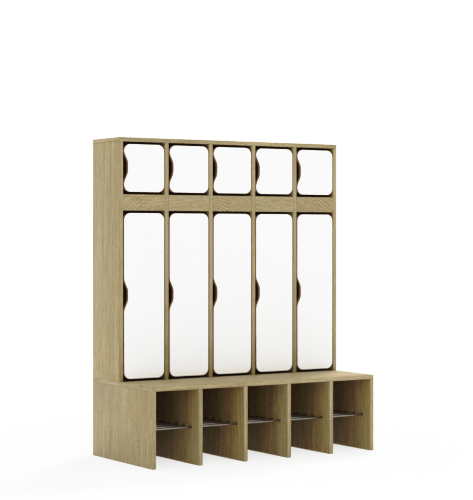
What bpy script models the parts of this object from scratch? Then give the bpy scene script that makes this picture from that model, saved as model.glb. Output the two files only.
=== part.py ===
"""Five-bay cloakroom locker on a shoe bench: board panels, ten doors on cup hinges, and shoe rods.

Metres, +Z up. The origin is on the floor, under the middle of the cabinet. The doors face -Y.
"""

import math

import bmesh
import bpy
from mathutils import Matrix, Vector

# Overall size and board
WIDTH = 1.130
DEPTH = 0.527
HEIGHT = 1.372
BOARD = 0.018
BACK_SHEET = 0.003
TOUCH_GAP = 0.0003
BAYS = 5

# Heights of the bench and of the rows of openings
BENCH_HEIGHT = 0.336
APRON_HEIGHT = 0.0687
SMALL_OPENING = 0.2243

# Upper cabinet, set back from the front of the bench
CABINET_SETBACK = 0.2815

# Doors
DOOR_WIDTH = 0.1954
DOOR_HINGE_GAP = 0.003
DOOR_THICKNESS = 0.018
SMALL_DOOR_END_GAP = 0.0105
TALL_DOOR_END_GAP = 0.010
DOOR_RECESS = 0.002
CORNER_RADIUS = 0.030
CORNER_STEPS = 6
NOTCH_LENGTH = 0.124
NOTCH_FLOOR = 0.047
NOTCH_DEPTH = 0.019
NOTCH_BEND = 0.012
NOTCH_BEND_STEPS = 4
NOTCH_ABOVE_MIDDLE = 0.0035
NOTCH_BELOW_CORNER = 0.0005

# Concealed hinges
CUP_RADIUS = 0.0176
CUP_DEPTH = 0.0125
CUP_FROM_EDGE = 0.0225
CUP_SIDES = 24
SMALL_HINGE_FROM_END = 0.050
TALL_HINGE_FROM_END = 0.100
HINGE_ARM_HEIGHT = 0.016
HINGE_WING_HEIGHT = 0.048
HINGE_WING_FROM_DOOR = 0.031
HINGE_WING_LENGTH = 0.012
HINGE_WING_THICKNESS = 0.0022

# Shoe rods
ROD_COUNT = 5
ROD_RADIUS = 0.004
ROD_SPACING = 0.060
ROD_HEIGHT = 0.155
ROD_SIDES = 16
ROD_HOLE_CLEARANCE = 0.0003
ROD_SOCKET_DEPTH = 0.010

# Back sheet margins
SHEET_SIDE_MARGIN = 0.002
SHEET_FLOOR_MARGIN = 0.012

# Places worked out from the sizes above
FRONT = -DEPTH / 2
REAR = DEPTH / 2
CARCASS_REAR = REAR - BACK_SHEET - TOUCH_GAP
CABINET_FRONT = FRONT + CABINET_SETBACK
PITCH = (WIDTH - BOARD) / BAYS
BAY_WIDTH = PITCH - BOARD
BENCH_UNDERSIDE = BENCH_HEIGHT - BOARD
CABINET_UNDERSIDE = HEIGHT - BOARD
APRON_TOP = CABINET_UNDERSIDE - SMALL_OPENING
APRON_BOTTOM = APRON_TOP - APRON_HEIGHT
DOOR_FRONT = CABINET_FRONT + DOOR_RECESS
DOOR_BACK = DOOR_FRONT + DOOR_THICKNESS


def clear_scene():
    for old in list(bpy.data.objects):
        bpy.data.objects.remove(old)


def new_collection(name):
    collection = bpy.data.collections.new(name)
    bpy.context.scene.collection.children.link(collection)
    return collection


def srgb(*values):
    """Linear RGBA from sRGB values of 0 to 255."""
    linear = []
    for value in values:
        share = value / 255
        linear.append(share / 12.92 if share <= 0.04045 else ((share + 0.055) / 1.055) ** 2.4)
    return (*linear, 1.0)


def new_material(name, colour, roughness, metallic=0.0):
    material = bpy.data.materials.new(name)
    material.use_nodes = True
    shader = material.node_tree.nodes["Principled BSDF"]
    shader.inputs["Base Color"].default_value = colour
    shader.inputs["Roughness"].default_value = roughness
    shader.inputs["Metallic"].default_value = metallic
    material.diffuse_color = colour
    return material


def new_object(name, mesh, collection, material=None):
    piece = bpy.data.objects.new(name, mesh)
    collection.objects.link(piece)
    if material:
        piece.data.materials.clear()
        piece.data.materials.append(material)
    return piece


def box_mesh(name, size):
    mesh = bpy.data.meshes.new(name)
    shape = bmesh.new()
    bmesh.ops.create_cube(shape, size=1.0, matrix=Matrix.Diagonal((*size, 1.0)))
    shape.to_mesh(mesh)
    shape.free()
    return mesh


def cylinder_mesh(name, radius, length, sides):
    """A cylinder along Z, centred on its origin."""
    mesh = bpy.data.meshes.new(name)
    shape = bmesh.new()
    bmesh.ops.create_cone(shape, cap_ends=True, segments=sides, radius1=radius, radius2=radius, depth=length)
    shape.to_mesh(mesh)
    shape.free()
    mesh.shade_smooth()
    mesh.set_sharp_from_angle(angle=math.radians(40))
    return mesh


def panel(name, low, high, material):
    """A board between two corners, given in the cabinet's own frame."""
    low, high = Vector(low), Vector(high)
    piece = new_object(name, box_mesh(name, high - low), parts, material)
    piece.location = (low + high) / 2
    return piece


def hide_as_cutter(piece):
    piece.hide_render = True
    piece.display_type = "WIRE"


def subtract(piece, name, cutter):
    cut = piece.modifiers.new(name, "BOOLEAN")
    cut.operation = "DIFFERENCE"
    cut.solver = "EXACT"
    cut.object = cutter


def bay_left(bay):
    """X of the left wall of a bay, which is numbered from 0."""
    return -WIDTH / 2 + BOARD + bay * PITCH


def arc(centre, radius, start, end, steps):
    """Points on an arc, angles in degrees."""
    points = []
    for step in range(steps + 1):
        angle = math.radians(start + (end - start) * step / steps)
        points.append((centre[0] + radius * math.cos(angle), centre[1] + radius * math.sin(angle)))
    return points


def notch_points(left, middle, top):
    """The finger notch, downwards: a shallow trough with rounded bends, and no part of it above top."""
    corners = [
        Vector((left, min(middle + NOTCH_LENGTH / 2 + NOTCH_BEND, top))),
        Vector((left, middle + NOTCH_LENGTH / 2)),
        Vector((left + NOTCH_DEPTH, middle + NOTCH_FLOOR / 2)),
        Vector((left + NOTCH_DEPTH, middle - NOTCH_FLOOR / 2)),
        Vector((left, middle - NOTCH_LENGTH / 2)),
        Vector((left, middle - NOTCH_LENGTH / 2 - NOTCH_BEND)),
    ]
    points = []
    for before, corner, after in zip(corners, corners[1:], corners[2:]):
        start = corner + (before - corner).normalized() * min(NOTCH_BEND, (before - corner).length)
        end = corner + (after - corner).normalized() * NOTCH_BEND
        for step in range(NOTCH_BEND_STEPS + 1):
            share = step / NOTCH_BEND_STEPS
            points.append(tuple(start.lerp(corner, share).lerp(corner.lerp(end, share), share)))
    return points


def door_outline(height):
    """A door seen from the front: hinge edge at x = 0, lower edge at 0, notch in the left edge."""
    r = CORNER_RADIUS
    left = -DOOR_WIDTH
    points = arc((-r, r), r, -90, 0, CORNER_STEPS)
    points += arc((-r, height - r), r, 0, 90, CORNER_STEPS)
    points += arc((left + r, height - r), r, 90, 180, CORNER_STEPS)
    points += notch_points(left, height / 2 + NOTCH_ABOVE_MIDDLE, height - r - NOTCH_BELOW_CORNER)
    points += arc((left + r, r), r, 180, 270, CORNER_STEPS)
    return points


def extruded(name, outline, thickness, matrix):
    """A flat outline made solid: a 2D curve, turned into a mesh with its caps welded on."""
    curve = bpy.data.curves.new(name, "CURVE")
    curve.dimensions = "2D"
    curve.fill_mode = "BOTH"
    curve.extrude = thickness / 2
    spline = curve.splines.new("POLY")
    spline.points.add(len(outline) - 1)
    for point, (x, y) in zip(spline.points, outline):
        point.co = (x, y, 0, 1)
    spline.use_cyclic_u = True

    drawn = bpy.data.objects.new(name + "_curve", curve)
    bpy.context.scene.collection.objects.link(drawn)
    drawn.matrix_world = matrix
    bpy.context.view_layer.update()
    evaluated = drawn.evaluated_get(bpy.context.evaluated_depsgraph_get())
    mesh = bpy.data.meshes.new_from_object(evaluated)
    mesh.name = name
    shape = bmesh.new()
    shape.from_mesh(mesh)
    bmesh.ops.remove_doubles(shape, verts=shape.verts, dist=0.00001)
    bmesh.ops.recalc_face_normals(shape, faces=shape.faces)
    shape.to_mesh(mesh)
    shape.free()

    solid = bpy.data.objects.new(name, mesh)
    solid.matrix_world = drawn.matrix_world
    bpy.data.objects.remove(drawn)
    return solid


def make_bench():
    panel(
        "bench_top",
        (-WIDTH / 2, FRONT, BENCH_UNDERSIDE),
        (WIDTH / 2, CARCASS_REAR, BENCH_HEIGHT),
        oak,
    )
    names = ["bench_side_left"]
    names += [f"bench_divider_{number}" for number in range(1, BAYS)]
    names += ["bench_side_right"]
    uprights = []
    for index, name in enumerate(names):
        left = -WIDTH / 2 + index * PITCH
        uprights.append(
            panel(name, (left, FRONT, 0), (left + BOARD, CARCASS_REAR, BENCH_UNDERSIDE - TOUCH_GAP), oak)
        )
    return uprights


def make_shoe_rods(uprights):
    """Rods pass through the dividers and end in blind sockets in the two sides."""
    inner_width = WIDTH - 2 * BOARD
    socket_reach = inner_width + 2 * ROD_SOCKET_DEPTH
    hole_radius = (ROD_RADIUS + ROD_HOLE_CLEARANCE) / math.cos(math.pi / ROD_SIDES)
    rod_mesh = cylinder_mesh("shoe_rod", ROD_RADIUS, socket_reach - 2 * TOUCH_GAP, ROD_SIDES)
    hole_mesh = cylinder_mesh("rod_hole", hole_radius, socket_reach, ROD_SIDES)
    for number in range(1, ROD_COUNT + 1):
        place = (0, FRONT + number * ROD_SPACING, ROD_HEIGHT)
        rod = new_object(f"shoe_rod_{number}", rod_mesh, parts, steel)
        hole = new_object(f"rod_hole_{number}", hole_mesh, cutters)
        for piece in (rod, hole):
            piece.location = place
            piece.rotation_euler = (0, math.pi / 2, 0)
        hide_as_cutter(hole)
        for upright in uprights:
            subtract(upright, f"rod_{number}", hole)


def make_carcass():
    panel(
        "cabinet_top",
        (-WIDTH / 2, CABINET_FRONT, CABINET_UNDERSIDE),
        (WIDTH / 2, CARCASS_REAR, HEIGHT),
        oak,
    )
    names = ["cabinet_side_left"]
    names += [f"cabinet_divider_{number}" for number in range(1, BAYS)]
    names += ["cabinet_side_right"]
    for index, name in enumerate(names):
        left = -WIDTH / 2 + index * PITCH
        panel(
            name,
            (left, CABINET_FRONT, BENCH_HEIGHT + TOUCH_GAP),
            (left + BOARD, CARCASS_REAR, CABINET_UNDERSIDE - TOUCH_GAP),
            oak,
        )
    panel(
        "back_sheet",
        (-WIDTH / 2 + SHEET_SIDE_MARGIN, CARCASS_REAR + TOUCH_GAP, SHEET_FLOOR_MARGIN),
        (WIDTH / 2 - SHEET_SIDE_MARGIN, REAR, HEIGHT - SHEET_SIDE_MARGIN),
        hardboard,
    )


def make_apron_and_shelf(bay):
    left = bay_left(bay) + TOUCH_GAP
    right = bay_left(bay) + BAY_WIDTH - TOUCH_GAP
    apron_rear = CABINET_FRONT + BOARD
    panel(
        f"apron_{bay + 1}",
        (left, CABINET_FRONT, APRON_BOTTOM),
        (right, apron_rear, APRON_TOP),
        oak,
    )
    panel(
        f"hat_shelf_{bay + 1}",
        (left, apron_rear + TOUCH_GAP, APRON_TOP - BOARD),
        (right, CARCASS_REAR, APRON_TOP),
        oak,
    )


def hinge_axis(name, bay, bottom):
    """An empty on a door's turning axis, which runs up the front corner of its right edge."""
    axis = bpy.data.objects.new(name, None)
    axis.empty_display_size = 0.05
    parts.objects.link(axis)
    axis.location = (bay_left(bay) + BAY_WIDTH - DOOR_HINGE_GAP, DOOR_FRONT, bottom)
    return axis


def make_door(name, bay, bottom, height, hinge_from_end):
    """A door with two cup bores in its back, hung from the empty on its turning axis."""
    axis = hinge_axis(f"{name}_axis", bay, bottom)
    upright = Matrix.Translation((0, DOOR_THICKNESS / 2, 0)) @ Matrix.Rotation(math.pi / 2, 4, "X")
    door = extruded(name, door_outline(height), DOOR_THICKNESS, upright)
    parts.objects.link(door)
    door.data.materials.append(white_board)
    door.parent = axis

    cup_mesh = cylinder_mesh(f"{name}_cup", CUP_RADIUS, 2 * CUP_DEPTH, CUP_SIDES)
    for end, height_up in (("lower", hinge_from_end), ("upper", height - hinge_from_end)):
        cup = new_object(f"{name}_cup_{end}", cup_mesh, cutters)
        cup.parent = axis
        cup.location = (-CUP_FROM_EDGE, DOOR_THICKNESS, height_up)
        cup.rotation_euler = (math.pi / 2, 0, 0)
        hide_as_cutter(cup)
        subtract(door, f"cup_{end}", cup)
        make_hinge_arm(f"{name}_hinge_{end}", bay, bottom + height_up)


def hinge_arm_mesh():
    """The fixed half of a hinge: a cranked arm and the wings of its mounting plate, in one body.

    Its origin is on the bay's right wall, level with the back of the door. The arm reaches into the
    bay along -X, and the plate lies along the wall.
    """
    wall = -TOUCH_GAP
    outline = [
        (wall, 0.014),
        (-0.006, 0.014),
        (-0.012, 0.009),
        (-0.012, 0.003),
        (-0.023, 0.003),
        (-0.023, 0.013),
        (-0.014, 0.024),
        (-0.014, 0.064),
        (-0.012, 0.066),
        (-0.008, 0.066),
        (-0.006, 0.062),
        (wall, 0.062),
    ]
    arm = extruded("hinge_arm", outline, HINGE_ARM_HEIGHT, Matrix.Identity(4))
    cutters.objects.link(arm)
    wing_size = (HINGE_WING_THICKNESS, HINGE_WING_LENGTH, HINGE_WING_HEIGHT)
    wing = new_object("hinge_wing", box_mesh("hinge_wing", wing_size), cutters)
    wing.location = (wall - HINGE_WING_THICKNESS / 2, HINGE_WING_FROM_DOOR + HINGE_WING_LENGTH / 2, 0)
    join = arm.modifiers.new("wing", "BOOLEAN")
    join.operation = "UNION"
    join.solver = "EXACT"
    join.object = wing
    bpy.context.view_layer.update()
    evaluated = arm.evaluated_get(bpy.context.evaluated_depsgraph_get())
    mesh = bpy.data.meshes.new_from_object(evaluated)
    mesh.materials.clear()
    mesh.materials.append(hinge_steel)
    bpy.data.objects.remove(arm)
    bpy.data.objects.remove(wing)
    return mesh


def make_hinge_arm(name, bay, height_up):
    arm = new_object(name, hinge_arm, parts)
    arm.location = (bay_left(bay) + BAY_WIDTH, DOOR_BACK, height_up)


clear_scene()
parts = new_collection("locker_cabinet")
cutters = new_collection("cutters")

oak = new_material("oak_laminate", srgb(172, 156, 121), 0.55)
white_board = new_material("white_board", srgb(244, 243, 241), 0.35)
hardboard = new_material("hardboard", srgb(150, 120, 88), 0.75)
steel = new_material("rod_steel", srgb(150, 148, 144), 0.25, 1.0)
hinge_steel = new_material("hinge_steel", srgb(185, 185, 183), 0.28, 1.0)
hinge_arm = hinge_arm_mesh()

make_shoe_rods(make_bench())
make_carcass()
for bay_number in range(BAYS):
    make_apron_and_shelf(bay_number)
    make_door(
        f"small_door_{bay_number + 1}",
        bay_number,
        APRON_TOP + SMALL_DOOR_END_GAP,
        SMALL_OPENING - 2 * SMALL_DOOR_END_GAP,
        SMALL_HINGE_FROM_END,
    )
    make_door(
        f"tall_door_{bay_number + 1}",
        bay_number,
        BENCH_HEIGHT + TALL_DOOR_END_GAP,
        APRON_BOTTOM - BENCH_HEIGHT - 2 * TALL_DOOR_END_GAP,
        TALL_HINGE_FROM_END,
    )
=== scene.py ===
import math
import random

import bmesh
import bpy
from mathutils import Matrix, Vector, geometry


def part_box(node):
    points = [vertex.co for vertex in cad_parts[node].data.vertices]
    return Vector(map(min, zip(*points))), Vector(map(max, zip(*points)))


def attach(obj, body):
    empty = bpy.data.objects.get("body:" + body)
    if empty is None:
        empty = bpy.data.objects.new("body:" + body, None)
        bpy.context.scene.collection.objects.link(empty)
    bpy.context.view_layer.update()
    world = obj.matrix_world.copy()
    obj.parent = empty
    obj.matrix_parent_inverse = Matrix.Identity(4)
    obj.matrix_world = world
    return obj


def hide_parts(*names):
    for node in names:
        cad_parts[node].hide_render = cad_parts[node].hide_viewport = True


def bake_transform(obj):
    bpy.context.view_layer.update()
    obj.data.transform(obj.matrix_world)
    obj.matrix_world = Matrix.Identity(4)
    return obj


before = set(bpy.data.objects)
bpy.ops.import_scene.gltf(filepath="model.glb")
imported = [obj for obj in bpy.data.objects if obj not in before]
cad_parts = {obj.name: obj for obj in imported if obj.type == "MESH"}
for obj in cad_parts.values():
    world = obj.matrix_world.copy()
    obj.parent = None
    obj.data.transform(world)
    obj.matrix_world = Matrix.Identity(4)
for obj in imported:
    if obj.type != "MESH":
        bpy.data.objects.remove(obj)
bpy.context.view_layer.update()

ROOT = "carcass"
BAYS = range(1, 6)
DOOR_KINDS = ("small", "tall")
HINGE_ENDS = ("lower", "upper")
FEATHER_BAYS = (3, 5)
GRAIN = "grain"
GRAIN_ALONG_X = 0
GRAIN_ALONG_Z = 2

# Boards
BOARD_ROUND = 0.0005

# Doors: the outline repeats the CAD door's, with finer arcs
DOOR_CORNER = 0.030
CORNER_STEPS = 20
NOTCH_LENGTH = 0.124
NOTCH_FLOOR = 0.047
NOTCH_DEPTH = 0.019
NOTCH_BEND = 0.012
NOTCH_BEND_STEPS = 12
NOTCH_ABOVE_MIDDLE = 0.0035
NOTCH_BELOW_CORNER = 0.0005
DOOR_ROUND = 0.0012
DOOR_ROUND_STEPS = 3

# Concealed hinges. X is measured from the bay's wall, and Y from the back of the door
AXIS_TO_WALL = 0.003
CUP_RADIUS = 0.0175
CUP_WALL = 0.0011
CUP_DEPTH = 0.0113
BORE_CLEARANCE = 0.0001
BORE_CLEARANCE_BELOW = 0.0003
CUP_FROM_EDGE = 0.0225
CUP_SEGMENTS = 64
CUP_X = -AXIS_TO_WALL - CUP_FROM_EDGE
FLANGE_RADIUS = 0.0200
FLANGE_THICKNESS = 0.0011
EAR_RADIUS = 0.0066
EAR_UP = 0.024
EAR_BACK = 0.006
ARM_HALF_HEIGHT = 0.008
ARM_OFF_WALL = 0.0140
SHEET = 0.0014
PLATE_OFF_WALL = 0.0003
WING_THICKNESS = 0.0019
RAIL_THICKNESS = 0.0085
RIVET_RADIUS = 0.0016
RIVET_ROUND = 0.0004
RIVET_HEAD = 0.0006
PIN_RADIUS = 0.0014
PIN_BEYOND_LINK = 0.003
PIN_SEGMENTS = 20
PLATE_SCREW_Y = 0.037
PLATE_SCREW_UP = 0.016
PLATE_SCREW_RADIUS = 0.0037
ADJUSTING_SCREW_Y = (0.0325, 0.0520)
ADJUSTING_SCREW_RADIUS = 0.0033
DOOR_SCREW_RADIUS = 0.0036
# Straps from the arm's tip into the cup: X and Y of their two ends, and half their height
LINKS = {
    "outer": ((-0.0182, 0.0060), (-0.0267, -0.0090), 0.0062),
    "inner": ((-0.0148, 0.0100), (-0.0210, -0.0080), 0.0036),
}
LINK_THICKNESS = 0.0014
LINK_STEPS = 16
SCREW_SEGMENTS = 32

# Shoe rods and coat hooks
ROD_ROUND = 0.0006
FERRULE_RADIUS = 0.0056
FERRULE_THICKNESS = 0.0012
FERRULE_ROUND = 0.0004
FERRULE_CLEARANCE = 0.0001
HOOK_Y = 0.165
HOOK_Z = 0.930
HOOK_BASE_HALF_WIDTH = 0.007
HOOK_BASE_HALF_HEIGHT = 0.024
HOOK_BASE_CORNER = 0.0068
HOOK_BASE_THICKNESS = 0.0026
HOOK_BAR_RADIUS = 0.0029
HOOK_BAR_SEGMENTS = 16
HOOK_BEND_RADIUS = 0.0135
HOOK_BEND_X = 0.0222
HOOK_BEND_Z = 0.0020
HOOK_BALL_RADIUS = 0.0052
HOOK_SCREW_UP = 0.0175
HOOK_SCREW_RADIUS = 0.0034

# Nails of the back sheet
NAIL_HEAD = 0.0004
NAIL_FROM_RIM = 0.008
NAIL_SPACING_UP = 0.13
NAIL_SPACING_ACROSS = 0.11


# ---------------------------------------------------------------- materials

def srgb(red, green, blue):
    """Linear RGBA from sRGB values of 0 to 255."""
    linear = []
    for value in (red, green, blue):
        share = value / 255
        linear.append(share / 12.92 if share <= 0.04045 else ((share + 0.055) / 1.055) ** 2.4)
    return (*linear, 1.0)


def new_material(name, **values):
    """A material, its node tree and its shader, with constant values set on the shader's sockets."""
    material = bpy.data.materials.new(name)
    material.use_nodes = True
    tree = material.node_tree
    shader = tree.nodes["Principled BSDF"]
    for key, value in values.items():
        shader.inputs[key.replace("_", " ")].default_value = value
    return material, tree, shader


def node(tree, kind, inputs=None, **settings):
    """Adds a node. An input that is a socket is linked, and any other value is set."""
    made = tree.nodes.new(kind)
    for name, value in settings.items():
        setattr(made, name, value)
    for key, value in (inputs or {}).items():
        if isinstance(value, bpy.types.NodeSocket):
            tree.links.new(value, made.inputs[key])
        else:
            made.inputs[key].default_value = value
    return made


def calculate(tree, operation, first, second=0.0, clamp=False):
    made = node(tree, "ShaderNodeMath", {0: first, 1: second}, operation=operation, use_clamp=clamp)
    return made.outputs[0]


def stretched(tree, vector, scale, location=(0, 0, 0)):
    inputs = {"Vector": vector, "Scale": scale, "Location": location}
    return node(tree, "ShaderNodeMapping", inputs).outputs[0]


def noise(tree, vector, detail=2.0, roughness=0.5, distortion=0.0, scale=1.0):
    inputs = {
        "Vector": vector,
        "Scale": scale,
        "Detail": detail,
        "Roughness": roughness,
        "Distortion": distortion,
    }
    return node(tree, "ShaderNodeTexNoise", inputs).outputs["Fac"]


def ramp(tree, factor, *stops):
    """A colour ramp through (place, colour) stops."""
    made = node(tree, "ShaderNodeValToRGB", {"Fac": factor})
    elements = made.color_ramp.elements
    while len(elements) < len(stops):
        elements.new(0.5)
    for element, (place, colour) in zip(elements, stops):
        element.position = place
        element.color = colour
    return made.outputs["Color"]


def mix(tree, factor, first, second, blend="MIX"):
    inputs = {"Factor": factor, 6: first, 7: second}
    return node(tree, "ShaderNodeMix", inputs, data_type="RGBA", blend_type=blend).outputs[2]


def span(tree, value, low, high, to_low=0.0, to_high=1.0):
    inputs = {"Value": value, "From Min": low, "From Max": high, "To Min": to_low, "To Max": to_high}
    return node(tree, "ShaderNodeMapRange", inputs).outputs["Result"]


def bump(tree, shader, height, strength, distance):
    made = node(tree, "ShaderNodeBump", {"Height": height, "Strength": strength, "Distance": distance})
    tree.links.new(made.outputs["Normal"], shader.inputs["Normal"])


def oak_material(name, figure, bend, comb, *layers):
    """Oak-grain laminate. The grain runs along U of the UV map, which is in metres.

    figure is how far its lines wander sideways, and bend the noise scale of that wandering. comb is how
    much the even lines of feathered grain show, in patches. Each layer of the print is the noise scale
    along and across the grain, and its share. The last is its fibres.
    """
    material, tree, shader = new_material(name, Specular_IOR_Level=0.28)
    uv = node(tree, "ShaderNodeUVMap", uv_map=GRAIN).outputs["UV"]

    wander = noise(tree, stretched(tree, uv, (*bend, 1.0)), 2.0, 0.45)
    wobble = noise(tree, stretched(tree, uv, (16.0, 34.0, 1.0)), 2.0)
    place = node(tree, "ShaderNodeSeparateXYZ", {"Vector": uv}).outputs
    across = calculate(tree, "ADD", place["Y"], calculate(tree, "MULTIPLY", wander, figure))
    across = calculate(tree, "ADD", across, calculate(tree, "MULTIPLY", wobble, 0.005))
    grain = node(tree, "ShaderNodeCombineXYZ", {"X": place["X"], "Y": across}).outputs[0]

    ripple = noise(tree, stretched(tree, uv, (130.0, 60.0, 1.0)), 2.0, 0.55, 0.6)
    patches = noise(tree, stretched(tree, uv, (6.0, 10.0, 1.0), (2.0, 7.0, 0)), 1.0)
    patches = span(tree, patches, 0.42, 0.66, 0.05, 0.22)
    tone = calculate(tree, "MULTIPLY", calculate(tree, "SUBTRACT", ripple, 0.5), patches)
    if comb:
        slanted = calculate(tree, "ADD", across, calculate(tree, "MULTIPLY", place["X"], COMB_SLANT))
        waves = calculate(tree, "SINE", calculate(tree, "MULTIPLY", slanted, 2 * math.pi * COMB_RATE))
        strength = noise(tree, stretched(tree, uv, (9.0, 12.0, 1.0)), 1.0)
        strength = span(tree, strength, 0.42, 0.58, 0.2 * comb, comb)
        tone = calculate(tree, "ADD", tone, calculate(tree, "MULTIPLY", waves, strength))
    for along, over, share in layers:
        print_layer = noise(tree, stretched(tree, grain, (along, over, 1.0)), 2.0, 0.58)
        tone = calculate(tree, "ADD", tone, calculate(tree, "MULTIPLY", print_layer, share))
    colour = ramp(tree, tone, (0.38, OAK_DARK), (0.50, OAK_MIDDLE), (0.61, OAK_LIGHT))
    greyed = {"Saturation": 0.88, "Value": 0.99, "Color": colour}
    grey = node(tree, "ShaderNodeHueSaturation", greyed).outputs[0]
    colour = mix(tree, span(tree, wander, 0.38, 0.62, 0.0, 0.8), colour, grey)

    pores = noise(tree, stretched(tree, grain, (60.0, 1500.0, 1.0)), 2.0)
    pores = span(tree, pores, 0.58, 0.70)
    shade = span(tree, pores, 0.0, 1.0, 1.0, 0.72)
    shade = node(tree, "ShaderNodeCombineColor", {0: shade, 1: shade, 2: shade}).outputs[0]
    colour = mix(tree, 1.0, colour, shade, "MULTIPLY")
    tree.links.new(colour, shader.inputs["Base Color"])
    tree.links.new(span(tree, print_layer, 0.3, 0.7, 0.46, 0.62), shader.inputs["Roughness"])
    height = calculate(tree, "SUBTRACT", calculate(tree, "MULTIPLY", print_layer, 0.5), pores)
    bump(tree, shader, height, 0.25, 0.00025)
    return material


def painted_material(name, colour, roughness, grain_scale, depth):
    """A smooth factory face with a faint orange peel and a little unevenness in its gloss."""
    material, tree, shader = new_material(name, Specular_IOR_Level=0.45)
    place = node(tree, "ShaderNodeTexCoord").outputs["Object"]
    cloud = noise(tree, place, 3.0, 0.55, 0.0, 6.0)
    peel = noise(tree, place, 2.0, 0.5, 0.0, grain_scale)
    darker = tuple(0.972 * value for value in colour[:3]) + (1.0,)
    tree.links.new(ramp(tree, cloud, (0.35, darker), (0.65, colour)), shader.inputs["Base Color"])
    gloss = span(tree, cloud, 0.3, 0.7, roughness - 0.04, roughness + 0.05)
    tree.links.new(gloss, shader.inputs["Roughness"])
    bump(tree, shader, peel, 0.12, depth)
    return material


def fibreboard_material(name, light, dark, fleck, bump_depth):
    """Bare pressed fibre: mottled, matt, with short dark flecks."""
    material, tree, shader = new_material(name, Specular_IOR_Level=0.2, Roughness=0.82)
    place = node(tree, "ShaderNodeTexCoord").outputs["Object"]
    mottle = noise(tree, place, 5.0, 0.7, 0.3, 55.0)
    fine = noise(tree, place, 3.0, 0.6, 0.0, 900.0)
    tone = calculate(tree, "MULTIPLY", mottle, 0.55)
    tone = calculate(tree, "ADD", tone, calculate(tree, "MULTIPLY", fine, 0.45))
    colour = ramp(tree, tone, (0.34, dark), (0.66, light))
    cells = node(tree, "ShaderNodeTexVoronoi", {"Vector": place, "Scale": 420.0}).outputs["Distance"]
    flecks = span(tree, cells, 0.10, 0.22, 1.0, 0.0)
    colour = mix(tree, calculate(tree, "MULTIPLY", flecks, 0.55, True), colour, fleck)
    tree.links.new(colour, shader.inputs["Base Color"])
    bump(tree, shader, fine, 0.35, bump_depth)
    return material


def metal_material(name, colour, roughness, stretch):
    """Drawn or rolled metal with faint draw lines, and a little dulling in patches."""
    material, tree, shader = new_material(name, Metallic=1.0)
    place = node(tree, "ShaderNodeTexCoord").outputs["Object"]
    lines = noise(tree, stretched(tree, place, stretch), 3.0, 0.6)
    patches = noise(tree, place, 3.0, 0.6, 0.0, 45.0)
    dull = tuple(0.86 * value for value in colour[:3]) + (1.0,)
    tone = calculate(tree, "MULTIPLY", lines, 0.5)
    tone = calculate(tree, "ADD", tone, calculate(tree, "MULTIPLY", patches, 0.5))
    tree.links.new(ramp(tree, tone, (0.36, dull), (0.62, colour)), shader.inputs["Base Color"])
    tree.links.new(span(tree, tone, 0.35, 0.65, roughness + 0.08, roughness), shader.inputs["Roughness"])
    bump(tree, shader, lines, 0.06, 0.0001)
    return material


# The fibre colours are the light one, the dark one and that of the flecks
# The glue colours are darker than the oak: on the board roundings they are partly a glue line and partly
# painted shade at the seams between boards
GLUE_AND_SEAM_SHADE_COLOURS = (srgb(138, 116, 84), srgb(122, 100, 70), srgb(100, 80, 56))
FIBRE_COLOURS = (srgb(178, 150, 124), srgb(141, 113, 89), srgb(104, 80, 60))
HARDBOARD_COLOURS = (srgb(146, 122, 94), srgb(133, 109, 82), srgb(104, 82, 60))
OAK_LIGHT = srgb(177, 164, 131)
OAK_MIDDLE = srgb(159, 145, 110)
OAK_DARK = srgb(131, 116, 82)
# Layers of the oak print: noise scale along the grain, scale across it, and share
PLAIN_LAYERS = ((0.5, 16.0, 0.14), (2.4, 110.0, 0.32), (12.0, 190.0, 0.26), (36.0, 520.0, 0.28))
FIGURED_LAYERS = ((0.9, 14.0, 0.10), (11.0, 220.0, 0.42), (40.0, 300.0, 0.24), (60.0, 520.0, 0.24))
FEATHER_LAYERS = ((0.9, 14.0, 0.13), (30.0, 200.0, 0.35), (60.0, 300.0, 0.25), (60.0, 520.0, 0.24))
# Feathered grain: lines to the metre, and how far they lean over
COMB_RATE = 75.0
COMB_SLANT = 0.8
oak = oak_material("oak_laminate", 0.06, (1.4, 4.6), 0.0, *PLAIN_LAYERS)
oak_figured = oak_material("oak_laminate_figured", 0.20, (1.8, 4.6), 0.03, *FIGURED_LAYERS)
oak_feather = oak_material("oak_laminate_feather", 0.12, (9.0, 4.0), 0.11, *FEATHER_LAYERS)
oak_band = oak_material("oak_edge_band", 0.04, (1.4, 4.6), 0.0, *PLAIN_LAYERS)
# Darker board roundings: partly glue line, partly painted shade at the seams between boards
glue_line_and_seam_shade = fibreboard_material("edge_glue_and_painted_seam_shade", *GLUE_AND_SEAM_SHADE_COLOURS, 0.00005)
white = painted_material("white_board_face", srgb(246, 246, 245), 0.36, 700.0, 0.00004)
door_edge = fibreboard_material("door_routed_edge", *FIBRE_COLOURS, 0.00008)
hardboard = fibreboard_material("hardboard_sheet", *HARDBOARD_COLOURS, 0.00010)
rod_steel = metal_material("rod_steel", srgb(150, 148, 145), 0.26, (6.0, 900.0, 900.0))
hinge_steel = metal_material("hinge_nickel", srgb(208, 206, 201), 0.30, (700.0, 60.0, 700.0))
screw_steel = metal_material("screw_zinc", srgb(184, 183, 176), 0.30, (400.0, 400.0, 400.0))
dark_steel = metal_material("ferrule_steel", srgb(92, 89, 84), 0.36, (400.0, 400.0, 400.0))


# ---------------------------------------------------------------- mesh helpers

def link(name, mesh, *materials):
    piece = bpy.data.objects.new(name, mesh)
    bpy.context.scene.collection.objects.link(piece)
    for material in materials:
        mesh.materials.append(material)
    return piece


def solid_mesh(shape, name, *materials, sharp=35.0):
    """A mesh from a bmesh, smooth but for its real edges, which several objects can share."""
    mesh = bpy.data.meshes.new(name)
    bmesh.ops.recalc_face_normals(shape, faces=shape.faces)
    shape.to_mesh(mesh)
    shape.free()
    mesh.shade_smooth()
    mesh.set_sharp_from_angle(angle=math.radians(sharp))
    for material in materials:
        mesh.materials.append(material)
    return mesh


def finished(shape, name, *materials, sharp=35.0):
    """A new object from a bmesh."""
    return link(name, solid_mesh(shape, name, *materials, sharp=sharp))


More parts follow.
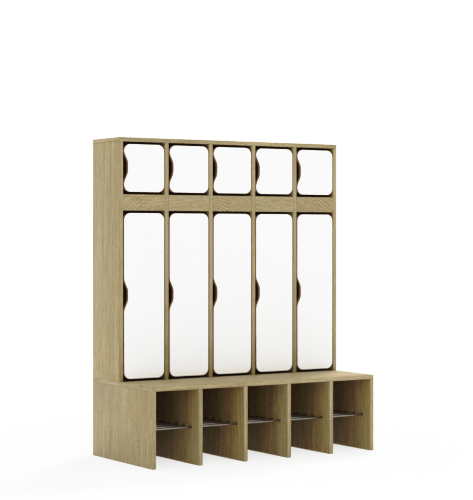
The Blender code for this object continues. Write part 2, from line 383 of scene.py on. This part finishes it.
def take_place(piece, body, slot, *nodes):
    """Lets a piece ride on its body, in place of CAD nodes. Its slot is not used."""
    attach(piece, body)
    if nodes:
        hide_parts(*nodes)


def largest_axis(vector):
    return max(range(3), key=lambda axis: abs(vector[axis]))


def grain_uv(shape, rng, grain_axis, thin_axis):
    """UVs in metres with U along the grain: the board's own on its faces, lengthwise on its edges."""
    layer = shape.loops.layers.uv.new(GRAIN)
    extents = [0.0, 0.0, 0.0]
    for axis in range(3):
        values = [vert.co[axis] for vert in shape.verts]
        extents[axis] = max(values) - min(values)
    starts = {}
    for face in shape.faces:
        across = largest_axis(face.normal)
        plane = [axis for axis in range(3) if axis != across]
        if across == thin_axis:
            along = grain_axis
        else:
            along = max(plane, key=lambda axis: extents[axis])
        other = plane[0] if plane[1] == along else plane[1]
        key = (across, face.normal[across] > 0)
        if key not in starts:
            starts[key] = (rng.uniform(0, 9), rng.uniform(0, 9))
        u_start, v_start = starts[key]
        for loop in face.loops:
            loop[layer].uv = (loop.vert.co[along] + u_start, loop.vert.co[other] + v_start)


def board_finish(normal, thin_axis):
    """Which material a face of a board has: 0 on the board's faces, 1 on its edges, 2 on the roundings."""
    if abs(normal[thin_axis]) > 0.999:
        return 0
    if abs(normal[largest_axis(normal)]) > 0.999:
        return 1
    return 2


def board(node_name, grain_axis, slot="oak_laminate", face=oak, band=oak_band, glue_and_seam_shade=glue_line_and_seam_shade, rear=0.0):
    """A laminated board in the box of a CAD node: printed faces, edge band, and a darker line between them
    on the roundings, partly the glue line and partly painted shade at the seams between boards.
    """
    low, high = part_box(node_name)
    high.y -= rear
    size = high - low
    thin_axis = min(range(3), key=lambda axis: size[axis])
    rng = random.Random(node_name)
    shape = bmesh.new()
    place = Matrix.Translation((low + high) / 2) @ Matrix.Diagonal((*size, 1.0))
    bmesh.ops.create_cube(shape, size=1.0, matrix=place)
    bmesh.ops.bevel(shape, geom=shape.edges[:], offset=BOARD_ROUND, segments=2, profile=0.5, affect="EDGES")
    bmesh.ops.recalc_face_normals(shape, faces=shape.faces)
    for polygon in shape.faces:
        polygon.material_index = board_finish(polygon.normal, thin_axis)
    grain_uv(shape, rng, grain_axis, thin_axis)
    piece = finished(shape, f"{node_name}_board", face, band, glue_and_seam_shade, sharp=50.0)
    take_place(piece, ROOT, slot, node_name)


def arc(centre, radius, start, end, steps):
    """Points on an arc, angles in degrees."""
    points = []
    for step in range(steps + 1):
        angle = math.radians(start + (end - start) * step / steps)
        points.append(Vector((centre[0] + radius * math.cos(angle), centre[1] + radius * math.sin(angle))))
    return points


def inset(points, distance):
    """A closed outline, anticlockwise, moved inwards. Each point goes square to its neighbours' line."""
    moved = []
    for index, point in enumerate(points):
        before = points[index - 1]
        after = points[(index + 1) % len(points)]
        along = (after - before).normalized()
        moved.append(point + Vector((-along.y, along.x)) * distance)
    return moved


def skin(shape, loops):
    """Joins rings of vertices into a solid with flat ends."""
    shape.faces.new(loops[0])
    shape.faces.new(list(reversed(loops[-1])))
    for near, far in zip(loops, loops[1:]):
        for index in range(len(near)):
            after = (index + 1) % len(near)
            shape.faces.new((near[index], near[after], far[after], far[index]))


def outline_solid(name, outline, rings, place, *materials):
    """A solid between two flat faces, from rings of (inset, depth). The last material is for its rim."""
    shape = bmesh.new()
    loops = []
    for distance, depth in rings:
        loops.append([shape.verts.new((point.x, point.y, depth)) for point in inset(outline, distance)])
    skin(shape, loops)
    for face in shape.faces:
        if len(face.verts) == 4:
            face.material_index = len(materials) - 1
    bmesh.ops.recalc_face_normals(shape, faces=shape.faces)
    shape.transform(place)
    mesh = bpy.data.meshes.new(name)
    shape.to_mesh(mesh)
    shape.free()
    for polygon in mesh.polygons:
        polygon.use_smooth = len(polygon.vertices) == 4
    return link(name, mesh, *materials)


def round_rings(thickness, radius, steps):
    """Rings of a slab whose two rims are rounded, from its front at 0 to its back."""
    rings = []
    for step in range(steps + 1):
        angle = math.pi / 2 * step / steps
        rings.append((radius * (1 - math.sin(angle)), radius * (1 - math.cos(angle))))
    back = [(distance, thickness - depth) for distance, depth in reversed(rings)]
    return rings + back


def rounded(corners, radius, steps=6):
    """A closed outline whose corners are rounded off."""
    points = []
    for index, (x, y) in enumerate(corners):
        corner = Vector((x, y))
        before = Vector(corners[index - 1]) - corner
        after = Vector(corners[(index + 1) % len(corners)]) - corner
        start = corner + before.normalized() * min(radius, 0.45 * before.length)
        end = corner + after.normalized() * min(radius, 0.45 * after.length)
        for step in range(steps + 1):
            share = step / steps
            points.append(start * (1 - share) ** 2 + corner * 2 * share * (1 - share) + end * share**2)
    return points


def slab(name, outline, thickness, place, *materials, soft=0.0003):
    """An outline with a thickness and lightly rounded rims."""
    return outline_solid(name, outline, round_rings(thickness, soft, 2), place, *materials)


def turned(shape, profile, place, segments=32, closed=False):
    """Adds a turned solid about local Z, from (radius, height) points. A closed profile makes a ring."""
    loops = []
    for radius, height in profile:
        if radius < 1e-7:
            loops.append([shape.verts.new(place @ Vector((0, 0, height)))])
            continue
        loop = []
        for step in range(segments):
            angle = 2 * math.pi * step / segments
            point = Vector((radius * math.cos(angle), radius * math.sin(angle), height))
            loop.append(shape.verts.new(place @ point))
        loops.append(loop)
    pairs = list(zip(loops, loops[1:]))
    if closed:
        pairs.append((loops[-1], loops[0]))
    for near, far in pairs:
        for step in range(segments):
            after = (step + 1) % segments
            corners = [near[step % len(near)], near[after % len(near)]]
            corners += [far[after % len(far)], far[step % len(far)]]
            shape.faces.new(list(dict.fromkeys(corners)))


def swept(shape, path, radius, segments):
    """Adds a round bar along a path in the XZ plane, closed by flat ends."""
    loops = []
    for index, point in enumerate(path):
        before = path[max(index - 1, 0)]
        after = path[min(index + 1, len(path) - 1)]
        along = (after - before).normalized()
        side = Vector((0, 1, 0))
        up = along.cross(side)
        loop = []
        for step in range(segments):
            angle = 2 * math.pi * step / segments
            loop.append(shape.verts.new(point + (side * math.cos(angle) + up * math.sin(angle)) * radius))
        loops.append(loop)
    skin(shape, loops)


# UPRIGHT and ON_WALL stand an outline of the XY plane up, across a bay or along its wall. The others
# turn local Z to the rear, to the left or to the right
UPRIGHT = Matrix(((1, 0, 0, 0), (0, 0, 1, 0), (0, 1, 0, 0), (0, 0, 0, 1)))
ON_WALL = Matrix(((0, 0, -1, 0), (1, 0, 0, 0), (0, 1, 0, 0), (0, 0, 0, 1)))
TO_REAR = Matrix.Rotation(-math.pi / 2, 4, "X")
TO_LEFT = Matrix.Rotation(-math.pi / 2, 4, "Y")
TO_RIGHT = Matrix.Rotation(math.pi / 2, 4, "Y")


def shift(x, y, z):
    return Matrix.Translation((x, y, z))


def changed_mesh(piece, operation, others):
    """A piece's mesh with others joined on or cut out. The others are removed."""
    for other in others:
        change = piece.modifiers.new("change", "BOOLEAN")
        change.operation = operation
        change.solver = "EXACT"
        change.object = other
    bpy.context.view_layer.update()
    evaluated = piece.evaluated_get(bpy.context.evaluated_depsgraph_get())
    mesh = bpy.data.meshes.new_from_object(evaluated)
    for other in others:
        bpy.data.objects.remove(other)
    return mesh


def cut(piece, cutters):
    """Takes cutters out of a piece for good."""
    mesh = changed_mesh(piece, "DIFFERENCE", cutters)
    piece.modifiers.clear()
    piece.data = mesh


def merged(name, pieces, operation="UNION"):
    """The first piece's mesh with the others joined on or cut out. All the pieces are removed."""
    mesh = changed_mesh(pieces[0], operation, pieces[1:])
    bpy.data.objects.remove(pieces[0])
    mesh.name = name
    mesh.shade_smooth()
    mesh.set_sharp_from_angle(angle=math.radians(35))
    return mesh


# ---------------------------------------------------------------- doors

def notch_points(left, middle, top):
    """The finger notch, downwards: a shallow trough with rounded bends, and no part of it above top."""
    corners = [
        Vector((left, min(middle + NOTCH_LENGTH / 2 + NOTCH_BEND, top))),
        Vector((left, middle + NOTCH_LENGTH / 2)),
        Vector((left + NOTCH_DEPTH, middle + NOTCH_FLOOR / 2)),
        Vector((left + NOTCH_DEPTH, middle - NOTCH_FLOOR / 2)),
        Vector((left, middle - NOTCH_LENGTH / 2)),
        Vector((left, middle - NOTCH_LENGTH / 2 - NOTCH_BEND)),
    ]
    points = []
    for before, corner, after in zip(corners, corners[1:], corners[2:]):
        start = corner + (before - corner).normalized() * min(NOTCH_BEND, (before - corner).length)
        end = corner + (after - corner).normalized() * NOTCH_BEND
        for step in range(NOTCH_BEND_STEPS + 1):
            share = step / NOTCH_BEND_STEPS
            points.append(start.lerp(corner, share).lerp(corner.lerp(end, share), share))
    return points


def door_outline(width, height):
    """Seen from the front, hinge edge at x = 0, lower edge at 0, notch in the left edge."""
    radius = DOOR_CORNER
    points = arc((-radius, radius), radius, -90, 0, CORNER_STEPS)
    points += arc((-radius, height - radius), radius, 0, 90, CORNER_STEPS)
    points += arc((-width + radius, height - radius), radius, 90, 180, CORNER_STEPS)
    points += notch_points(-width, height / 2 + NOTCH_ABOVE_MIDDLE, height - radius - NOTCH_BELOW_CORNER)
    points += arc((-width + radius, radius), radius, 180, 270, CORNER_STEPS)
    return points


def cylinder(name, radius, length, place, material):
    """A cylinder about the local Z of its place, with as many sides as a hinge cup."""
    shape = bmesh.new()
    size = {"segments": CUP_SEGMENTS, "radius1": radius, "radius2": radius, "depth": length}
    bmesh.ops.create_cone(shape, cap_ends=True, matrix=place, **size)
    return finished(shape, name, material)


def hinge_heights(door):
    """Centre heights of a door's two hinges, from its CAD hinge nodes."""
    heights = []
    for end in HINGE_ENDS:
        low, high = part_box(f"{door}_hinge_{end}")
        heights.append((low.z + high.z) / 2)
    return heights


def make_door(door):
    low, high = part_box(door)
    outline = door_outline(high.x - low.x, high.z - low.z)
    thickness = high.y - low.y
    place = shift(high.x, low.y, low.z) @ UPRIGHT
    rings = round_rings(thickness, DOOR_ROUND, DOOR_ROUND_STEPS)
    piece = outline_solid(f"{door}_leaf", outline, rings, place, white, door_edge)
    radius = CUP_RADIUS + BORE_CLEARANCE
    length = 2 * (CUP_DEPTH + BORE_CLEARANCE_BELOW)
    bores = []
    for height in hinge_heights(door):
        place = shift(high.x - CUP_FROM_EDGE, high.y, height) @ TO_REAR
        bores.append(cylinder("bore", radius, length, place, door_edge))
    cut(piece, bores)
    take_place(piece, door, "white_board", door)


# ---------------------------------------------------------------- hinges

def screw_head(shape, place, radius):
    """Adds a pan head with a cross recess, standing on the origin of its place and facing local +Z."""
    height = 0.5 * radius
    profile = [(0.0, -0.0002), (radius, -0.0002), (radius, 0.25 * height)]
    for step in range(1, 5):
        angle = math.pi / 2 * step / 5
        profile.append((radius * math.cos(angle), height * (0.25 + 0.75 * math.sin(angle))))
    profile.append((0.62 * radius, height))
    recess = [(0.30 * radius, height), (0.27 * radius, 0.45 * height)]
    first = len(shape.verts) + 1 + SCREW_SEGMENTS * (len(profile) - 1)
    turned(shape, profile + recess + [(0.0, 0.35 * height)], place, SCREW_SEGMENTS)
    shape.verts.ensure_lookup_table()
    for ring, (_, depth) in enumerate(recess):
        middle = place @ Vector((0, 0, depth))
        for step in range(SCREW_SEGMENTS):
            arms = math.cos(4 * math.pi * step / SCREW_SEGMENTS) ** 4
            vert = shape.verts[first + ring * SCREW_SEGMENTS + step]
            vert.co = middle + (vert.co - middle) * (0.42 + 1.2 * arms)


def arm_mesh():
    """The cranked arm: a channel open to the wall, with the rivets of its links at its tip."""
    side = [
        (-0.0125, 0.003),
        (-0.0125, 0.009),
        (-0.0065, 0.016),
        (-0.0065, 0.063),
        (-0.0120, 0.066),
        (-ARM_OFF_WALL, 0.064),
        (-ARM_OFF_WALL, 0.024),
        (-0.0230, 0.013),
        (-0.0230, 0.003),
    ]
    hollow = [
        (0.010, -0.002),
        (0.010, 0.070),
        (-0.0126, 0.070),
        (-0.0126, 0.0245),
        (-0.0216, 0.0135),
        (-0.0216, 0.0065),
        (-0.0300, 0.0065),
        (-0.0300, -0.002),
    ]
    full = 2 * ARM_HALF_HEIGHT
    arm = slab("arm", rounded(side, 0.0022), full, shift(0, 0, -ARM_HALF_HEIGHT), hinge_steel)
    inside = shift(0, 0, SHEET - ARM_HALF_HEIGHT)
    room = slab("room", rounded(hollow, 0.0010), full - 2 * SHEET, inside, hinge_steel)
    shape = bmesh.new()
    shape.from_mesh(merged("hinge_arm_shell", [arm, room], "DIFFERENCE"))
    reach = ARM_HALF_HEIGHT + RIVET_HEAD
    tip = RIVET_RADIUS - RIVET_ROUND
    for (start, _, _) in LINKS.values():
        pin = [(0.0, -reach), (tip, -reach), (RIVET_RADIUS, -reach + RIVET_ROUND)]
        pin += [(RIVET_RADIUS, reach - RIVET_ROUND), (tip, reach), (0.0, reach)]
        turned(shape, pin, shift(*start, 0), PIN_SEGMENTS)
    return solid_mesh(shape, "hinge_arm_channel", hinge_steel)


def plate_mesh():
    """The mounting plate: two wings screwed to the wall, and the rail that the arm slides over."""
    wing = [(0.0312, -0.024), (0.0428, -0.024), (0.0428, 0.024), (0.0312, 0.024)]
    rail = [(0.018, -0.0058), (0.061, -0.0058), (0.061, 0.0058), (0.018, 0.0058)]
    place = shift(-PLATE_OFF_WALL, 0, 0) @ ON_WALL
    wings = slab("wings", rounded(wing, 0.0055, 8), WING_THICKNESS, place, hinge_steel)
    rails = slab("rails", rounded(rail, 0.0020), RAIL_THICKNESS, place, hinge_steel)
    return merged("hinge_plate_mesh", [wings, rails])


def cup_mesh():
    """The hinge cup with its flange and ears, and the two pins that hold its links."""
    rim = arc((CUP_X, 0), FLANGE_RADIUS, 0, 360, 64)
    for up in (-EAR_UP, EAR_UP):
        rim += arc((CUP_X - EAR_BACK, up), EAR_RADIUS, 0, 360, 40)
    outline = [rim[index] for index in geometry.convex_hull_2d(rim)]
    flange = slab("flange", outline, FLANGE_THICKNESS, UPRIGHT, hinge_steel, soft=0.0004)
    place = shift(CUP_X, -CUP_DEPTH / 2 + FLANGE_THICKNESS / 2, 0) @ TO_REAR
    body = cylinder("body", CUP_RADIUS, CUP_DEPTH, place, hinge_steel)
    cup = link("cup", merged("cup_outside", [flange, body]))
    place = shift(CUP_X, 0.0005, 0) @ TO_REAR
    room = cylinder("room", CUP_RADIUS - CUP_WALL, 2 * (CUP_DEPTH - 2 * CUP_WALL), place, hinge_steel)
    shape = bmesh.new()
    shape.from_mesh(merged("cup_shell", [cup, room], "DIFFERENCE"))
    for (_, end, half_height) in LINKS.values():
        reach = half_height + PIN_BEYOND_LINK
        pin = [(0.0, -reach), (PIN_RADIUS, -reach), (PIN_RADIUS, reach), (0.0, reach)]
        turned(shape, pin, shift(*end, 0), PIN_SEGMENTS)
    return solid_mesh(shape, "hinge_cup_mesh", hinge_steel)


def fixed_screws_mesh():
    """The screws of the mounting plate, and the arm's two adjusting screws."""
    shape = bmesh.new()
    for up in (-PLATE_SCREW_UP, PLATE_SCREW_UP):
        place = shift(-PLATE_OFF_WALL - WING_THICKNESS, PLATE_SCREW_Y, up) @ TO_LEFT
        screw_head(shape, place, PLATE_SCREW_RADIUS)
    for away in ADJUSTING_SCREW_Y:
        screw_head(shape, shift(-ARM_OFF_WALL, away, 0) @ TO_LEFT, ADJUSTING_SCREW_RADIUS)
    return solid_mesh(shape, "hinge_fixed_screws", screw_steel)


def door_screws_mesh():
    shape = bmesh.new()
    for up in (-EAR_UP, EAR_UP):
        screw_head(shape, shift(CUP_X - EAR_BACK, FLANGE_THICKNESS, up) @ TO_REAR, DOOR_SCREW_RADIUS)
    return solid_mesh(shape, "hinge_door_screws", screw_steel)


def make_link(name, kind, corner):
    """A strap from the arm's tip into the cup."""
    start, end, half_height = LINKS[kind]
    start = Vector((*start, 0))
    end = Vector((*end, 0))
    along = (end - start).normalized()
    side = Vector((-along.y, along.x, 0)) * LINK_THICKNESS / 2
    shape = bmesh.new()
    loops = []
    for step in range(LINK_STEPS + 1):
        middle = start.lerp(end, step / LINK_STEPS)
        loop = []
        for over, up in ((-1, -1), (1, -1), (1, 1), (-1, 1)):
            loop.append(shape.verts.new(corner + middle + side * over + Vector((0, 0, half_height * up))))
        loops.append(loop)
    skin(shape, loops)
    strap = finished(shape, name, hinge_steel)
    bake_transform(strap)


def make_hinge(cad, door, corner, fixed, swinging):
    """One hinge at a corner of wall and door back. Its arm takes the CAD node's place."""
    for body, meshes in ((ROOT, fixed), (door, swinging)):
        for part, mesh in meshes.items():
            piece = link(f"{cad}_{part}", mesh)
            piece.location = corner
            replaced = [cad] if part == "arm" else []
            take_place(piece, body, "hinge_steel", *replaced)
    for kind in LINKS:
        make_link(f"{cad}_link_{kind}", kind, corner)


def make_hinges():
    fixed = {"arm": arm_mesh(), "plate": plate_mesh(), "fixed_screws": fixed_screws_mesh()}
    swinging = {"cup": cup_mesh(), "door_screws": door_screws_mesh()}
    for bay in BAYS:
        wall = bay_walls("cabinet", bay)[1]
        for kind in DOOR_KINDS:
            door = f"{kind}_door_{bay}"
            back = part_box(door)[1].y
            for end, height in zip(HINGE_ENDS, hinge_heights(door)):
                make_hinge(f"{door}_hinge_{end}", door, Vector((wall, back, height)), fixed, swinging)


# ---------------------------------------------------------------- rods, hooks and nails

def bay_walls(level, bay):
    """X of the two inner walls of a bay, in the bench or in the cabinet."""
    left = "side_left" if bay == 1 else f"divider_{bay - 1}"
    right = "side_right" if bay == len(BAYS) else f"divider_{bay}"
    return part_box(f"{level}_{left}")[1].x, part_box(f"{level}_{right}")[0].x


def make_rod(number):
    """A shoe rod that runs through all five bays, and the ferrules where it enters each wall."""
    cad = f"shoe_rod_{number}"
    low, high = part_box(cad)
    middle = (low + high) / 2
    radius = (high.z - low.z) / 2
    half = (high.x - low.x) / 2
    profile = [(0.0, -half), (radius - ROD_ROUND, -half), (radius, -half + ROD_ROUND)]
    profile += [(radius, half - ROD_ROUND), (radius - ROD_ROUND, half), (0.0, half)]
    shape = bmesh.new()
    turned(shape, profile, shift(*middle) @ TO_RIGHT, 48)
    take_place(finished(shape, f"{cad}_bar", rod_steel), ROOT, "rod_steel", cad)

    hole = radius + FERRULE_CLEARANCE
    ring = [(hole, 0.0), (FERRULE_RADIUS, 0.0), (FERRULE_RADIUS, FERRULE_THICKNESS - FERRULE_ROUND)]
    ring += [(FERRULE_RADIUS - FERRULE_ROUND, FERRULE_THICKNESS), (hole, FERRULE_THICKNESS)]
    shape = bmesh.new()
    for bay in BAYS:
        left, right = bay_walls("bench", bay)
        for wall, turn in ((left, TO_RIGHT), (right, TO_LEFT)):
            turned(shape, ring, shift(wall, middle.y, middle.z) @ turn, 36, closed=True)
    take_place(finished(shape, f"{cad}_ferrules", dark_steel), ROOT, "rod_steel")


def hook_path():
    """The middle line of a hook's bar: out of its base, then down and round to the ball at its tip."""
    path = []
    for step in range(5):
        path.append(Vector((0.0018 + 0.004 * step, 0, -0.006 - 0.0012 * step)))
    for step in range(1, 19):
        angle = math.radians(-107 + 150 * step / 18)
        x = HOOK_BEND_X + HOOK_BEND_RADIUS * math.cos(angle)
        z = HOOK_BEND_Z + HOOK_BEND_RADIUS * math.sin(angle)
        path.append(Vector((x, 0, z)))
    return path


def hook_mesh():
    """A coat hook that points along +X from a wall at X = 0: its base, its bar and the ball at its tip."""
    wide = HOOK_BASE_HALF_WIDTH
    high = HOOK_BASE_HALF_HEIGHT
    base = rounded([(-wide, -high), (wide, -high), (wide, high), (-wide, high)], HOOK_BASE_CORNER, 8)
    away = Matrix(((0, 0, 1, 0), (1, 0, 0, 0), (0, 1, 0, 0), (0, 0, 0, 1)))
    back = slab("back", base, HOOK_BASE_THICKNESS, away, rod_steel, soft=0.0009)
    shape = bmesh.new()
    shape.from_mesh(back.data)
    bpy.data.objects.remove(back)
    path = hook_path()
    swept(shape, path, HOOK_BAR_RADIUS, HOOK_BAR_SEGMENTS)
    profile = [(0.0, -HOOK_BALL_RADIUS)]
    for step in range(1, 12):
        angle = math.pi * step / 12 - math.pi / 2
        profile.append((HOOK_BALL_RADIUS * math.cos(angle), HOOK_BALL_RADIUS * math.sin(angle)))
    profile.append((0.0, HOOK_BALL_RADIUS))
    turned(shape, profile, shift(*path[-1]), 24)
    return solid_mesh(shape, "coat_hook", rod_steel)


def hook_screws_mesh():
    shape = bmesh.new()
    for up in (-HOOK_SCREW_UP, HOOK_SCREW_UP):
        screw_head(shape, shift(HOOK_BASE_THICKNESS, 0, up) @ TO_RIGHT, HOOK_SCREW_RADIUS)
    return solid_mesh(shape, "coat_hook_screws", screw_steel)


def make_hooks():
    hook, screws = hook_mesh(), hook_screws_mesh()
    for bay in BAYS:
        for side, wall in zip(("left", "right"), bay_walls("cabinet", bay)):
            for part, mesh in (("hook", hook), ("hook_screws", screws)):
                piece = link(f"coat_{part}_{bay}_{side}", mesh)
                piece.location = (wall, HOOK_Y, HOOK_Z)
                if side == "right":
                    piece.rotation_euler.z = math.pi
                take_place(piece, ROOT, "rod_steel")


def spaced(start, end, wanted):
    """Even places from start to end, no further apart than wanted."""
    count = math.ceil((end - start) / wanted)
    return [start + (end - start) * index / count for index in range(count + 1)]


def make_nails():
    """Nail heads in the rim of the back sheet, and in the dividers behind it."""
    low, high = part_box("back_sheet")
    places = set()
    for z in spaced(low.z + NAIL_FROM_RIM, high.z - NAIL_FROM_RIM, NAIL_SPACING_UP):
        for name in ("side_left", "side_right"):
            near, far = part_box(f"cabinet_{name}")
            middle = (near.x + far.x) / 2
            places.add((min(max(middle, low.x + NAIL_FROM_RIM), high.x - NAIL_FROM_RIM), z))
        for number in range(1, len(BAYS)):
            near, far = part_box(f"cabinet_divider_{number}")
            places.add(((near.x + far.x) / 2, z))
    for x in spaced(low.x + NAIL_FROM_RIM, high.x - NAIL_FROM_RIM, NAIL_SPACING_ACROSS):
        places.add((x, high.z - NAIL_FROM_RIM))
    shape = bmesh.new()
    head = [(0.0, 0.0), (0.0023, 0.0), (0.0022, 0.6 * NAIL_HEAD), (0.0016, NAIL_HEAD), (0.0, NAIL_HEAD)]
    for x, z in sorted(places):
        turned(shape, head, shift(x, high.y - NAIL_HEAD, z) @ TO_REAR, 16)
    take_place(finished(shape, "back_sheet_nails", screw_steel), ROOT, "hinge_steel")


# ---------------------------------------------------------------- build

def make_boards():
    board("bench_top", GRAIN_ALONG_X, glue_and_seam_shade=oak_band)
    board("cabinet_top", GRAIN_ALONG_X)
    for side in ("side_left", "side_right", "divider_1", "divider_2", "divider_3", "divider_4"):
        board(f"bench_{side}", GRAIN_ALONG_Z, glue_and_seam_shade=oak_band)
        board(f"cabinet_{side}", GRAIN_ALONG_Z)
    for bay in BAYS:
        figure = oak_feather if bay in FEATHER_BAYS else oak_figured
        board(f"apron_{bay}", GRAIN_ALONG_X, face=figure)
        board(f"hat_shelf_{bay}", GRAIN_ALONG_X)
    finish = {"slot": "hardboard", "face": hardboard, "band": hardboard, "glue_and_seam_shade": hardboard}
    board("back_sheet", GRAIN_ALONG_Z, rear=NAIL_HEAD, **finish)


make_boards()
for bay in BAYS:
    for kind in DOOR_KINDS:
        make_door(f"{kind}_door_{bay}")
make_hinges()
for number in range(1, 6):
    make_rod(number)
make_hooks()
make_nails()


# ---------------------------------------------------------------- stage, light and camera

def make_floor():
    shape = bmesh.new()
    bmesh.ops.create_grid(shape, x_segments=1, y_segments=1, size=60.0)
    floor = finished(shape, "studio_floor")
    material, tree, shader = new_material("studio_floor", Roughness=0.9, Specular_IOR_Level=0.0)
    seen = node(tree, "ShaderNodeLightPath").outputs["Is Camera Ray"]
    tree.links.new(mix(tree, seen, FLOOR_COLOUR, FLOOR_SEEN_COLOUR), shader.inputs["Base Color"])
    shader.inputs["Emission Color"].default_value = (1.0, 1.0, 1.0, 1.0)
    tree.links.new(span(tree, seen, 0.0, 1.0, FLOOR_GLOW, FLOOR_LIFT), shader.inputs["Emission Strength"])
    floor.data.materials.append(material)


def make_sky():
    world = bpy.data.worlds.new("studio")
    bpy.context.scene.world = world
    world.use_nodes = True
    tree = world.node_tree
    background = tree.nodes["Background"]
    background.inputs["Color"].default_value = (1.0, 1.0, 1.0, 1.0)
    direction = node(tree, "ShaderNodeTexCoord").outputs["Generated"]
    rise = node(tree, "ShaderNodeSeparateXYZ", {"Vector": direction}).outputs["Z"]
    sky = span(tree, rise, 0.0, 1.0, SKY_HORIZON, SKY_ZENITH)
    seen = node(tree, "ShaderNodeLightPath").outputs["Is Camera Ray"]
    backdrop = span(tree, seen, 0.0, 1.0, 0.0, SKY_SEEN)
    tree.links.new(calculate(tree, "MAXIMUM", sky, backdrop), background.inputs["Strength"])


def soft_sun(name, azimuth, elevation, spread, strength):
    """A far light. Azimuth is anticlockwise from +X, seen from above."""
    data = bpy.data.lights.new(name, "SUN")
    data.angle = math.radians(spread)
    data.energy = strength
    lamp = bpy.data.objects.new(name, data)
    bpy.context.scene.collection.objects.link(lamp)
    turn = math.radians(azimuth)
    rise = math.radians(elevation)
    towards = Vector((math.cos(turn) * math.cos(rise), math.sin(turn) * math.cos(rise), math.sin(rise)))
    lamp.rotation_euler = (-towards).to_track_quat("-Z", "Y").to_euler()


def set_tones(white_level, black, stops, channels):
    """A photographic tone curve: soft blacks, deep shadows, soft highlights up to the white level.

    channels are the curves of red, green and blue that go before it.
    """
    view = bpy.context.scene.view_settings
    view.view_transform = "Standard"
    view.use_curve_mapping = True
    mapping = view.curve_mapping
    mapping.white_level = (white_level, white_level, white_level)
    curve = mapping.curves[3]
    curve.points[0].location = (0.0, black)
    for light, shown in stops:
        curve.points.new(light / white_level, shown)
    for curve, points in zip(mapping.curves, channels):
        for light, shown in points:
            curve.points.new(light, shown)
    mapping.update()


# Floor and sky. What the camera sees of them is set apart from the light they give
FLOOR_COLOUR = (0.87, 0.87, 0.87, 1.0)
FLOOR_SEEN_COLOUR = (0.50, 0.50, 0.50, 1.0)
FLOOR_GLOW = 0.20
FLOOR_LIFT = 0.57
SKY_HORIZON = 0.82
SKY_ZENITH = 1.25
SKY_SEEN = 1.34

# Tone curve: light, and how bright it shows
WHITE_LEVEL = 1.28
BLACK = 0.0040
TONES = (
    (0.015, 0.0060),
    (0.04, 0.0185),
    (0.08, 0.043),
    (0.14, 0.115),
    (0.22, 0.200),
    (0.36, 0.347),
    (0.50, 0.520),
    (0.65, 0.775),
    (0.75, 0.845),
    (0.88, 0.895),
    (1.05, 0.947),
)
# The same for red, green and blue, before it
WARM_SHADOWS = (
    ((0.04, 0.0415), (0.10, 0.102), (0.22, 0.222), (0.45, 0.45)),
    ((0.04, 0.0383), (0.10, 0.098), (0.22, 0.219), (0.45, 0.45)),
    ((0.03, 0.028), (0.10, 0.097), (0.22, 0.209), (0.50, 0.50)),
)

KEY_AZIMUTH = 37.0
KEY_ELEVATION = 52.0
KEY_SPREAD = 12.0
KEY_STRENGTH = 1.3

CAMERA_PLACE = (-3.8246, -6.0244, 0.9586)
CAMERA_YAW = math.radians(-32.4631)
CAMERA_LENS = 116.818
CAMERA_SHIFT = (0.00064, -0.03065)

make_floor()
make_sky()
soft_sun("key", KEY_AZIMUTH, KEY_ELEVATION, KEY_SPREAD, KEY_STRENGTH)

lens = bpy.data.cameras.new("camera")
lens.lens = CAMERA_LENS
lens.sensor_width = 36.0
lens.shift_x, lens.shift_y = CAMERA_SHIFT
lens.clip_end = 200.0
camera = bpy.data.objects.new("camera", lens)
bpy.context.scene.collection.objects.link(camera)
camera.location = CAMERA_PLACE
camera.rotation_euler = (math.pi / 2, 0.0, CAMERA_YAW)
bpy.context.scene.camera = camera
set_tones(WHITE_LEVEL, BLACK, TONES, WARM_SHADOWS)
